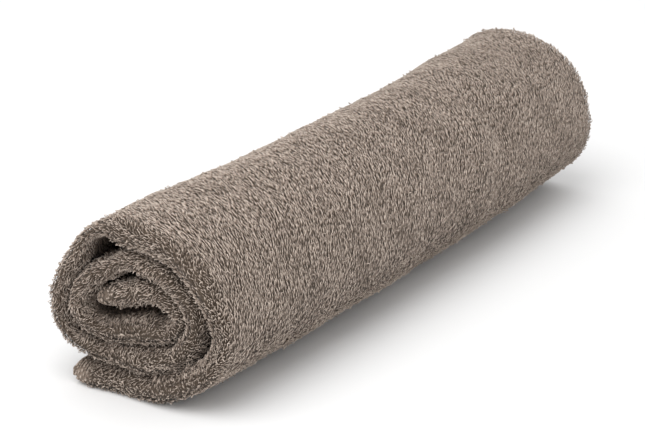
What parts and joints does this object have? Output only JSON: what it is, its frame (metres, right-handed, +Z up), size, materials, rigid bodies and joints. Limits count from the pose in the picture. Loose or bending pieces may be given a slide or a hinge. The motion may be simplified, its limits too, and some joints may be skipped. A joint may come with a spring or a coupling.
{
  "type": "rolled hand towel",
  "caption": "Plain terry hand towel, folded in three along its length and rolled up, lying on its side with the free flap tucked under it.",
  "frame": {"origin": "centre of the roll's footprint, on the surface that it lies on", "axes": "+X along the roll, from the end where the flap's nose shows best, +Y towards the side where the free flap's edge lies, +Z up"},
  "size_m": [0.3461, 0.0971, 0.0818],
  "materials": {
    "terry": "plain taupe cotton terry, uncut loops on both faces"
  },
  "bodies": {
    "root": {"towel": "terry"}
  },
  "joints": []
}
